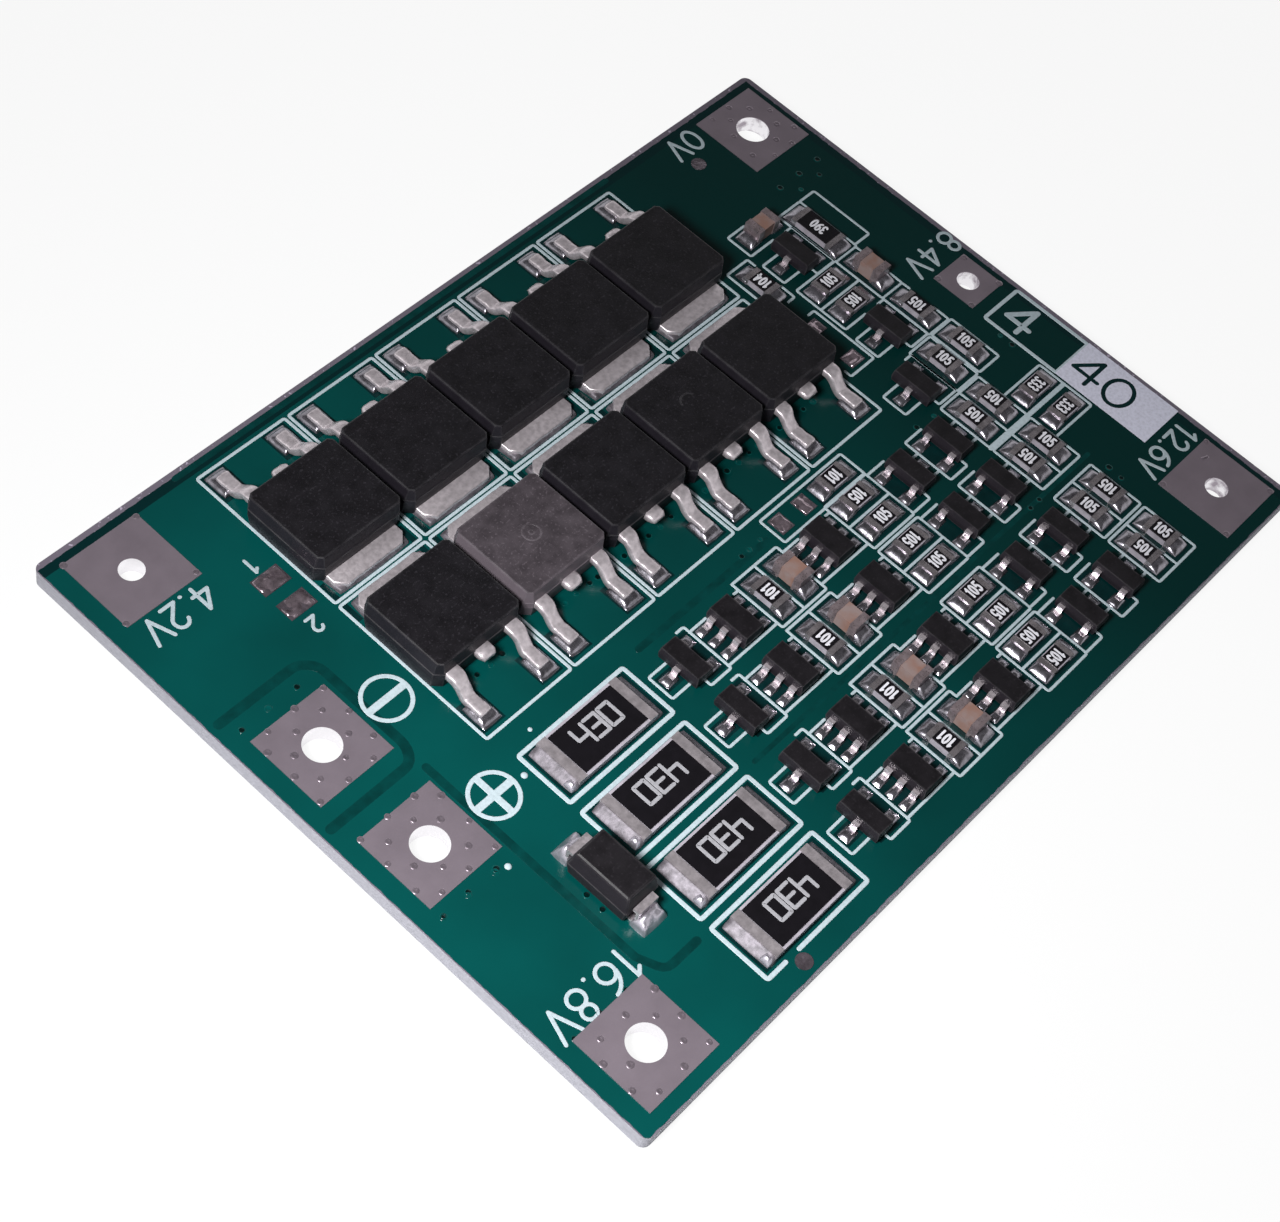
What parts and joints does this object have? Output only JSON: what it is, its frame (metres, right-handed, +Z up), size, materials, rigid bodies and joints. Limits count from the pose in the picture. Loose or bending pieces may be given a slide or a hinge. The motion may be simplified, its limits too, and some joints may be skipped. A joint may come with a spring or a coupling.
{
  "type": "battery management board",
  "caption": "Flat circuit board that protects and balances a lithium battery, with rows of power transistors, shunt resistors, small parts and plated wire holes.",
  "frame": {"origin": "middle of the board's underside", "axes": "+X along the long side towards the zero-volt and tap terminals, +Y along the short side towards the switch rows, +Z up from the board through its parts"},
  "size_m": [0.06, 0.045, 0.0036],
  "materials": {
    "board": "glossy green solder mask on glass fibre",
    "tinned_land": "satin tinned copper",
    "black_moulding": "fine-grained moulding compound",
    "grey_moulding": "fine-grained moulding compound, paler",
    "small_moulding": "smooth moulding compound",
    "tinned_lead": "satin tin plating",
    "tinned_end": "bright tin plating",
    "white_ceramic": "white alumina",
    "resistor_coat": "glossy black glaze",
    "capacitor_ceramic": "tan ceramic",
    "solder": "bright solder"
  },
  "bodies": {
    "root": {"balance_chip_1": "small_moulding", "balance_chip_2": "small_moulding", "balance_chip_3": "small_moulding", "balance_chip_4": "small_moulding", "bare_lands": "tinned_land", "board": "board", "capacitor_bodies": "capacitor_ceramic", "capacitor_ends": "tinned_end", "chip_legs": "tinned_lead", "diode_body": "black_moulding", "diode_leads": "tinned_lead", "guard_chip_1": "small_moulding", "guard_chip_2": "small_moulding", "guard_chip_3": "small_moulding", "guard_chip_4": "small_moulding", "lower_switch_body_1": "black_moulding", "lower_switch_body_2": "grey_moulding", "lower_switch_body_3": "black_moulding", "lower_switch_body_4": "black_moulding", "lower_switch_body_5": "black_moulding", "lower_switch_frame_1": "tinned_lead", "lower_switch_frame_2": "tinned_lead", "lower_switch_frame_3": "tinned_lead", "lower_switch_frame_4": "tinned_lead", "lower_switch_frame_5": "tinned_lead", "resistor_bars": "white_ceramic", "resistor_coats": "resistor_coat", "resistor_ends": "tinned_end", "shunt_bar_1": "white_ceramic", "shunt_bar_2": "white_ceramic", "shunt_bar_3": "white_ceramic", "shunt_bar_4": "white_ceramic", "shunt_coat_1": "resistor_coat", "shunt_coat_2": "resistor_coat", "shunt_coat_3": "resistor_coat", "shunt_coat_4": "resistor_coat", "shunt_ends_1": "tinned_end", "shunt_ends_2": "tinned_end", "shunt_ends_3": "tinned_end", "shunt_ends_4": "tinned_end", "solder_joints": "solder", "terminal_0v": "tinned_land", "terminal_12v6": "tinned_land", "terminal_16v8": "tinned_land", "terminal_4v2": "tinned_land", "terminal_8v4": "tinned_land", "terminal_minus": "tinned_land", "terminal_plus": "tinned_land", "transistor_bodies": "small_moulding", "transistor_legs": "tinned_lead", "upper_switch_body_1": "black_moulding", "upper_switch_body_2": "black_moulding", "upper_switch_body_3": "black_moulding", "upper_switch_body_4": "black_moulding", "upper_switch_body_5": "black_moulding", "upper_switch_frame_1": "tinned_lead", "upper_switch_frame_2": "tinned_lead", "upper_switch_frame_3": "tinned_lead", "upper_switch_frame_4": "tinned_lead", "upper_switch_frame_5": "tinned_lead"}
  },
  "joints": []
}
